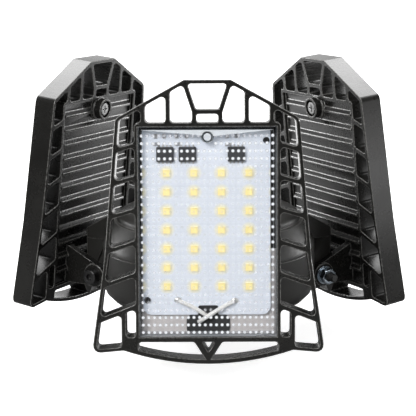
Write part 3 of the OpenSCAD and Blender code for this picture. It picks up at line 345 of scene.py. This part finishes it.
def dotGlintFinish(index):                       # painted highlight: each dot is white in its middle, standing in for the glint of the lens's prisms, and fainter over the board
    s = Sheet("lensDot_" + panels[index])
    x, y = s.axes(s.spot(panelPlace(index)))[:2]
    across = (x - lensDots["x"]) / lensDots["pitchX"] + 50.5       # above 0, so that fractions count up
    up = (y - lensDots["y"]) / lensDots["pitchY"] + 50.5
    dx = (s.sum("FRACT", across, 0) - 0.5) * lensDots["pitchX"]
    dy = (s.sum("FRACT", up, 0) - 0.5) * lensDots["pitchY"]
    away = (dx * dx + dy * dy) ** 0.5
    core = s.clamp((dotGlintLook["core"] + dotGlintLook["fade"] - away) / dotGlintLook["fade"])
    overBoard = s.clamp((y - dotGlintLook["boardFrom"]) / dotGlintLook["boardFade"])
    overBoard = overBoard * (1 - s.within(y, *dotGlintLook["chipRow"])) * s.within(x, *dotGlintLook["boardSides"])
    overDiodes = s.within(x, *dotGlintLook["diodeSides"]) * s.within(y, *dotGlintLook["diodeRows"])
    alpha = dotGlintLook["alpha"] - overBoard * dotGlintLook["overBoard"] - overDiodes * dotGlintLook["overDiodes"]
    return s.close(color=dotGlintLook["shade"], rough=0.2 + away * 0.1,
                   alpha=s.clamp(core * alpha + dotGlintLook["haze"]))


print("finishes are mixed")


# standsFor lists the solids' nodes that the piece takes the place of
def makePiece(bm, name, body, finishes, place=hubPlace, standsFor=None, smooth=35):
    if place is not None:
        bm.transform(place)
    mesh = bpy.data.meshes.new(name)
    bm.to_mesh(mesh)
    bm.free()
    for finish in finishes:
        mesh.materials.append(finish)
    mesh.shade_smooth()
    mesh.set_sharp_from_angle(angle=radians(smooth))
    piece = bpy.data.objects.new(name, mesh)
    scene.collection.objects.link(piece)
    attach(piece, body)
    if standsFor:
        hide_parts(*standsFor)
    return piece


def roundEdges(piece, width, segments=2, finish=-1):
    bevel = piece.modifiers.new("roundEdges", "BEVEL")
    bevel.width = width * mm
    bevel.segments = segments
    bevel.limit_method = "ANGLE"
    bevel.angle_limit = radians(30)
    bevel.use_clamp_overlap = False
    bevel.harden_normals = True
    bevel.material = finish


merging = {"within": 1e-6, "flat": 0.6, "quadFlat": 50, "quadShape": 60}


def mergedCopy(nodeName, quads=False):      # a node's triangles, merged into flat faces or into quads
    bm = bmesh.new()
    bm.from_mesh(nodes[nodeName].data)
    bmesh.ops.remove_doubles(bm, verts=bm.verts, dist=merging["within"])
    if quads:
        bmesh.ops.join_triangles(bm, faces=bm.faces, angle_face_threshold=radians(merging["quadFlat"]),
                                 angle_shape_threshold=radians(merging["quadShape"]))
    else:
        bmesh.ops.dissolve_limit(bm, angle_limit=radians(merging["flat"]), verts=bm.verts,
                                 edges=bm.edges)
    for face in bm.faces:
        face.material_index = 0
    return bm


def roundedCopy(nodeName, body, finishes, width, segments=2):     # the last finish is the edges'
    bm = mergedCopy(nodeName)
    piece = makePiece(bm, nodeName + "_rounded", body, finishes, None, [nodeName])
    roundEdges(piece, width, segments, len(finishes) - 1 if len(finishes) > 1 else -1)


def wrapped(columns, rows, place):          # a grid bent by place(u, v) and closed where its edges meet
    bm = bmesh.new()
    bmesh.ops.create_grid(bm, x_segments=columns, y_segments=rows, size=0.5)
    for vert in bm.verts:
        vert.co = place(vert.co.x + 0.5, vert.co.y + 0.5)
    bmesh.ops.remove_doubles(bm, verts=bm.verts, dist=1e-4)
    bmesh.ops.recalc_face_normals(bm, faces=bm.faces)
    return bm


def prism(bm, outline, low, high, finish=0):    # an outline in y and z, drawn out from low to high
    ends = [[bm.verts.new((x, y, z)) for y, z in outline] for x in (low, high)]
    faces = [bm.faces.new(ends[0][::-1]), bm.faces.new(ends[1])]
    for i in range(len(outline)):
        j = (i + 1) % len(outline)
        faces.append(bm.faces.new((ends[0][i], ends[0][j], ends[1][j], ends[1][i])))
    for face in faces:
        face.material_index = finish
    bmesh.ops.recalc_face_normals(bm, faces=faces)


def box(bm, x, y, z, finish=0):             # each of x, y and z is a pair
    prism(bm, [(y[0], z[0]), (y[1], z[0]), (y[1], z[1]), (y[0], z[1])], x[0], x[1], finish)


def paint(nodeName, finish):
    for slotOfNode in nodes[nodeName].material_slots:
        slotOfNode.material = finish


hubPaints = {"cap_insulator": insulatorBlack, "centre_contact": contactMetal,
             "terminal_board": hubBoardGreen, "terminal_board_screws": screwSteel,
             "terminal_blocks": terminalPlastic, "fuse": fuseGlass, "cap_leads": leadWhite,
             "cable_bushes": rubberBlack, "housing_screws": screwSteel}
for nodeName, finish in hubPaints.items():
    paint(nodeName, finish)
shell = {"radius": 13.1, "height": 19.5, "pitch": 3.63, "depth": 1.2, "fade": 2.2, "sheet": 0.5,
         "columns": 72, "rows": 96}


def threadedShell(u, v):
    z = v * shell["height"]
    fade = min(1, z / shell["fade"], (shell["height"] - z) / shell["fade"])
    groove = 0.5 - 0.5 * cos(2 * pi * (z / shell["pitch"] - u))
    r = shell["radius"] - shell["depth"] * groove * fade
    return Vector((r * cos(2 * pi * u), r * sin(2 * pi * u), z))


thread = makePiece(wrapped(shell["columns"], shell["rows"], threadedShell), "screw_shell_thread",
                   hubBody, [shellMetal], hubPlace, ["screw_shell"], 60)
sheet = thread.modifiers.new("sheet", "SOLIDIFY")
sheet.thickness = shell["sheet"] * mm
sheet.offset = -1
# how far the edges are rounded, in millimetres
hubRounding = {"collar": 0.5, "casting": 0.4, "screws": 0.15}
roundedCopy("cap_collar", hubBody, [collarPlastic], hubRounding["collar"], 3)
for nodeName in ("upper_housing", "lower_housing", "bottom_cover"):
    roundedCopy(nodeName, hubBody, [hubBlack, hubEdge], hubRounding["casting"])
roundedCopy("cover_screws", hubBody, [screwSteel], hubRounding["screws"])
print("hub is dressed")
panelRounding = {"casting": 0.32, "lens": 0.2, "diodes": 0.05, "chips": 0.2, "resistors": 0.08,
                 "screws": 0.15, "plug": 0.2, "bolt": 0.35, "nut": 0.08, "washers": 0.12}


def panelBody(index):
    return "panel_" + panels[index]


def localView(index):                       # a face's middle and normal in the panel's own axes
    inverse = panelPlace(index).inverted()
    turn = inverse.to_3x3()
    return lambda face: (inverse @ face.calc_center_median(), (turn @ face.normal).normalized())


casting = {"trayReach": 30, "topWall": 88}  # the tray's floor is within this x, top walls above this y


def dressCasting(index):
    node = "panel_frame_" + panels[index]
    bm = mergedCopy(node)
    look = localView(index)
    for face in bm.faces:
        middle, facing = look(face)
        onFloor = abs(middle.z - layer["floor"]) < 0.1 and abs(middle.x) < casting["trayReach"]
        if onFloor and facing.z > 0.9:
            face.material_index = 1
        elif abs(facing.z) < 0.2 and middle.y > casting["topWall"]:
            face.material_index = 2
    wall = castFinish("castWall_" + panels[index], castPaint, False, panelPlace(index))
    piece = makePiece(bm, node + "_rounded", panelBody(index),
                      [castBlack, trayFinish(index), wall, castEdge], None, [node])
    roundEdges(piece, panelRounding["casting"], 3, 3)


def dressLens(index):
    node = "lens_" + panels[index]
    bm = mergedCopy(node)
    look = localView(index)
    for face in bm.faces:
        middle, facing = look(face)
        if hypot(middle.x, middle.y - lensScrew["y"]) < lensScrew["bossRadius"] + 0.1:
            face.material_index = 2
        elif middle.z < layer["lensBack"] - 0.1:
            face.material_index = 1
    piece = makePiece(bm, node + "_rounded", panelBody(index),
                      [lensClear, lensSkirt, lensBoss], None, [node])
    roundEdges(piece, panelRounding["lens"])
    dots = bmesh.new()
    for column in lensDots["columns"]:
        for row in lensDots["rows"]:
            x = lensDots["x"] + column * lensDots["pitchX"]
            y = lensDots["y"] + row * lensDots["pitchY"]
            if hypot(x, y - lensScrew["y"]) < lensScrew["bossRadius"] + lensDots["radius"]:
                continue
            middle = Vector((x, y, layer["lensBack"] - lensDots["rise"] / 2 - lensDots["gap"]))
            tip = lensDots["radius"] * lensDots["taper"]
            bmesh.ops.create_cone(dots, cap_ends=True, segments=lensDots["sides"], radius1=tip,
                                  radius2=lensDots["radius"], depth=lensDots["rise"],
                                  matrix=Matrix.Translation(middle))
    piece = makePiece(dots, "lens_dots_" + panels[index], panelBody(index),
                      [dotGlintFinish(index)], panelPlace(index))
    piece.visible_shadow = False


phosphorPool = {"rim": 0.14, "sunk": 0.06}


def dressDiodes(index):
    node = "diodes_" + panels[index]
    bm = mergedCopy(node)
    look = localView(index)
    tops = [face for face in bm.faces if look(face)[1].z > 0.9]
    bmesh.ops.inset_individual(bm, faces=tops, thickness=phosphorPool["rim"] * mm,
                               depth=-phosphorPool["sunk"] * mm, use_even_offset=True)
    for face in tops:
        face.material_index = 1
    piece = makePiece(bm, node + "_rounded", panelBody(index), [diodeBody, phosphor],
                      None, [node])
    roundEdges(piece, panelRounding["diodes"])


# the outline of a pin starts at the chip's side: y inwards, z above the board
chips = {"x": (-18, -8.5, 12.2), "y": 70.55, "length": 6.2, "pins": 4, "pitch": 1.7, "pinWidth": 0.65,
         "pin": [(-0.9, 0), (-0.35, 0), (-0.15, 0.65), (0.1, 0.65), (0.1, 0.85), (-0.3, 0.85),
                 (-0.5, 0.2), (-0.9, 0.2)]}


def dressChips(index):
    roundedCopy("driver_chips_" + panels[index], panelBody(index), [chipBlack],
                panelRounding["chips"])
    bm = bmesh.new()
    for x in chips["x"]:
        for side in (-1, 1):
            edge = chips["y"] + side * chips["length"] / 2
            outline = [(edge - side * y, layer["board"] + z) for y, z in chips["pin"]]
            for k in range(chips["pins"]):
                at = x + (k - (chips["pins"] - 1) / 2) * chips["pitch"]
                prism(bm, outline, at - chips["pinWidth"] / 2, at + chips["pinWidth"] / 2)
    makePiece(bm, "chip_pins_" + panels[index], panelBody(index), [solder],
              panelPlace(index))


resistors = {"flat": [(-21.6, 74.9), (-12.5, 74.9), (8.8, 74.6)], "flatSize": (2.6, 1.4, 0.5),
             "tall": [(x, 78.2) for x in (-21.9, -18.3, -13, -8.8, 8.4, 12.3)],
             "tallSize": (1.5, 1.9, 0.4), "cap": 0.24, "body": 0.9}


def dressResistors(index):                  # a body between two soldered caps
    bm = bmesh.new()
    low = layer["board"]
    for kind in ("flat", "tall"):
        width, height, rise = resistors[kind + "Size"]
        cap = width * resistors["cap"]
        for x, y in resistors[kind]:
            ys = (y - height / 2, y + height / 2)
            top = low + rise * resistors["body"]
            box(bm, (x - width / 2 + cap, x + width / 2 - cap), ys, (low, top), 1)
            for side in (-1, 1):
                outer = x + side * width / 2
                inner = outer - side * cap
                box(bm, (min(outer, inner), max(outer, inner)), ys, (low, low + rise))
    piece = makePiece(bm, "resistors_" + panels[index], panelBody(index),
                      [solder, resistorBody], panelPlace(index))
    roundEdges(piece, panelRounding["resistors"])


leadEnds = {"pads": [(-12.9, 8.0), (11.4, 7.7)], "solder": (1.7, 1.3, 0.7)}


def dressLeads(index):
    node = "board_leads_" + panels[index]
    piece = makePiece(mergedCopy(node, True), node + "_smooth", panelBody(index),
                      [leadWhite], None, [node], 60)
    soft = piece.modifiers.new("soft", "SUBSURF")
    soft.levels = soft.render_levels = 2
    bm = bmesh.new()
    for x, y in leadEnds["pads"]:           # solder under the ends of the leads
        blob = Matrix.Translation((x, y, layer["board"])) @ Matrix.Diagonal((*leadEnds["solder"], 1))
        bmesh.ops.create_uvsphere(bm, u_segments=20, v_segments=10, radius=1, matrix=blob)
    makePiece(bm, "lead_solder_" + panels[index], panelBody(index), [solder],
              panelPlace(index))


# the hinge's parts lie along x, where the solids have them; "lip" and "bevel" break the nut's edges
nut = {"inner": -22.2, "outer": -25.4, "corner": 4.04, "hole": 2.06, "chamfer": 30, "lip": 0.05,
       "bevel": 0.3, "columns": 72, "rows": 7}


def nutPoint(u, v):
    turn = 2 * pi * u
    flatRadius = nut["corner"] * cos(pi / 6)
    r = flatRadius / cos(turn % (pi / 3) - pi / 6)
    drop = max(0, r - flatRadius) * tan(radians(nut["chamfer"])) + nut["lip"]
    ring = flatRadius - nut["lip"]
    loop = [(nut["hole"], nut["inner"]), (ring, nut["inner"]), (r, nut["inner"] - drop),
            (r, nut["outer"] + drop), (ring, nut["outer"]), (nut["hole"] + nut["bevel"], nut["outer"]),
            (nut["hole"], nut["outer"] + nut["bevel"]), (nut["hole"], nut["inner"])]
    r, x = loop[round(v * nut["rows"])]
    return Vector((x, r * sin(turn), r * cos(turn)))


# the bolt is cut inside the nut, and a threaded end takes over from there
boltEnd = {"cut": -25.2, "start": -24.7, "end": -29.6, "radius": 2, "pitch": 0.7, "depth": 0.38,
           "chamfer": 0.5, "columns": 36, "threadRows": 41, "capRows": 2}
boltRows = boltEnd["threadRows"] + 1 + boltEnd["capRows"]


def boltEndPoint(u, v):
    row = v * boltRows
    if row < boltEnd["threadRows"] + 1:
        length = boltEnd["end"] + boltEnd["chamfer"] - boltEnd["start"]
        x = boltEnd["start"] + length * row / boltEnd["threadRows"]
        groove = abs(2 * ((x / boltEnd["pitch"] + u) % 1) - 1)
        r = boltEnd["radius"] - boltEnd["depth"] * groove
    else:                                   # the flat end
        x = boltEnd["end"]
        r = (boltEnd["radius"] - boltEnd["chamfer"]) * (boltRows - row) / boltEnd["capRows"]
    return Vector((x, r * sin(2 * pi * u), r * cos(2 * pi * u)))


def dressHinge(index):
    letter = panels[index]
    body = panelBody(index)
    place = panelPlace(index)
    bolt = "hinge_bolt_" + letter
    bm = mergedCopy(bolt)
    cut = bmesh.ops.bisect_plane(
        bm, geom=[*bm.verts, *bm.edges, *bm.faces], dist=merging["within"], clear_outer=True,
        plane_co=place @ Vector((boltEnd["cut"], 0, 0)), plane_no=place.to_3x3() @ Vector((-1, 0, 0)))
    rim = [part for part in cut["geom_cut"] if isinstance(part, bmesh.types.BMEdge)]
    bmesh.ops.holes_fill(bm, edges=rim)
    piece = makePiece(bm, bolt + "_rounded", body, [boltDark], None, [bolt])
    roundEdges(piece, panelRounding["bolt"], 3)
    makePiece(wrapped(boltEnd["columns"], boltRows, boltEndPoint), "hinge_bolt_thread_" + letter, body,
              [boltDark], place, None, 50)
    piece = makePiece(wrapped(nut["columns"], nut["rows"], nutPoint), "hinge_nut_" + letter + "_cut",
                      body, [zincBright], place, ["hinge_nut_" + letter], 25)
    roundEdges(piece, panelRounding["nut"])
    roundedCopy("hinge_washers_" + letter, body, [zincBright], panelRounding["washers"])


def dressPanel(index):
    letter = panels[index]
    body = panelBody(index)
    dressCasting(index)
    dressLens(index)
    paint("light_board_" + letter, boardFinish(index))
    dressDiodes(index)
    dressChips(index)
    dressResistors(index)
    dressLeads(index)
    roundedCopy("board_screws_" + letter, body, [screwDark], panelRounding["screws"])
    roundedCopy("lens_screw_" + letter, body, [screwSteel], panelRounding["screws"])
    roundedCopy("wire_plug_" + letter, body, [rubberBlack], panelRounding["plug"])
    dressHinge(index)


for index in range(len(panels)):
    dressPanel(index)
print("panels are dressed")

# low enough for the opened panels; white to the camera, and dimmer where its light falls on the lamp
floorLook = {"size": 8000, "low": -77, "shade": (0.8, 0.8, 0.8), "bounce": (0.25, 0.25, 0.25),
             "glowNear": (0.74, 0.74, 0.74), "glowFar": (1, 1, 1), "glow": 1.1,
             "near": 350, "fade": 800, "mirrorFrom": 80, "mirrorFade": 200}


def makeFloor():
    bm = bmesh.new()
    bmesh.ops.create_grid(bm, x_segments=1, y_segments=1, size=floorLook["size"] / 2)
    bm.transform(Matrix.Translation((0, 0, floorLook["low"])))
    bm.transform(hubPlace)
    mesh = bpy.data.meshes.new("floor")
    bm.to_mesh(mesh)
    bm.free()
    floor = bpy.data.objects.new("floor", mesh)
    scene.collection.objects.link(floor)
    s = Sheet("floorPaper")
    flat = s.add("ShaderNodeBsdfDiffuse", None, {"Color": floorLook["shade"]})
    x, y = s.axes(s.spot())[:2]
    far = s.clamp(((x * x + y * y) ** 0.5 - floorLook["near"] * mm) / (floorLook["fade"] * mm))
    glow = s.add("ShaderNodeEmission", None, {
        "Color": s.blend(far, floorLook["glowNear"], floorLook["glowFar"]), "Strength": floorLook["glow"]})
    bright = s.add("ShaderNodeAddShader", None, {0: flat, 1: glow})
    bounce = s.add("ShaderNodeBsdfDiffuse", None, {"Color": floorLook["bounce"]})
    behind = s.clamp((y - floorLook["mirrorFrom"] * mm) / (floorLook["mirrorFade"] * mm))
    both = s.add("ShaderNodeMixShader", None, {0: s.seen(behind), 1: bounce, 2: bright})
    s.add("ShaderNodeOutputMaterial", None, {"Surface": both})
    mesh.materials.append(s.owner)


sky = {"front": (0.05, 0.05, 0.05), "back": (0.4, 0.4, 0.4), "turn": 0.4, "mirrorRise": 2.5}


def makeWorld():
    world = bpy.data.worlds.new("studio")
    scene.world = world
    s = Sheet(world)
    way = s.axes(s.add("ShaderNodeTexCoord"))[1]
    front = s.clamp(sky["turn"] - way)      # darker behind the camera than behind the lamp
    white = s.add("ShaderNodeBackground", None, {"Color": (1, 1, 1), "Strength": 1.0})
    soft = s.add("ShaderNodeBackground", None, {
        "Color": s.blend(front, sky["back"], sky["front"]), "Strength": 1.0})
    seen = s.seen(s.clamp(way * sky["mirrorRise"]))
    both = s.add("ShaderNodeMixShader", None, {0: seen, 1: soft, 2: white})
    s.add("ShaderNodeOutputWorld", None, {"Surface": both})


lamps = {                                   # name: place, target, width, height, watts
    "key": ((-700, -1300, 900), (0, 0, 20), 700, 700, 24),
    "fill": ((800, -1300, 700), (0, 0, 20), 500, 500, 3.5),
    "top": ((0, 520, 1250), (0, 0, 0), 1700, 1000, 25),
    "right": ((1400, -620, 0), (0, 0, 20), 900, 600, 6),
    "backLeft": ((-1250, 820, 70), (0, 0, 20), 900, 170, 9),
    "backRight": ((1250, 820, 70), (0, 0, 20), 900, 170, 9)}


def makeLamps():
    for name, (place, target, width, height, watts) in lamps.items():
        data = bpy.data.lights.new(name, "AREA")
        data.shape = "RECTANGLE"
        data.size = width * mm
        data.size_y = height * mm
        data.energy = watts
        lamp = bpy.data.objects.new(name, data)
        scene.collection.objects.link(lamp)
        lamp.location = Vector(place) * mm
        toward = Vector(target) - Vector(place)
        lamp.rotation_euler = toward.to_track_quat("-Z", "Y").to_euler()


makeFloor()
makeWorld()
makeLamps()
print("studio is lit")
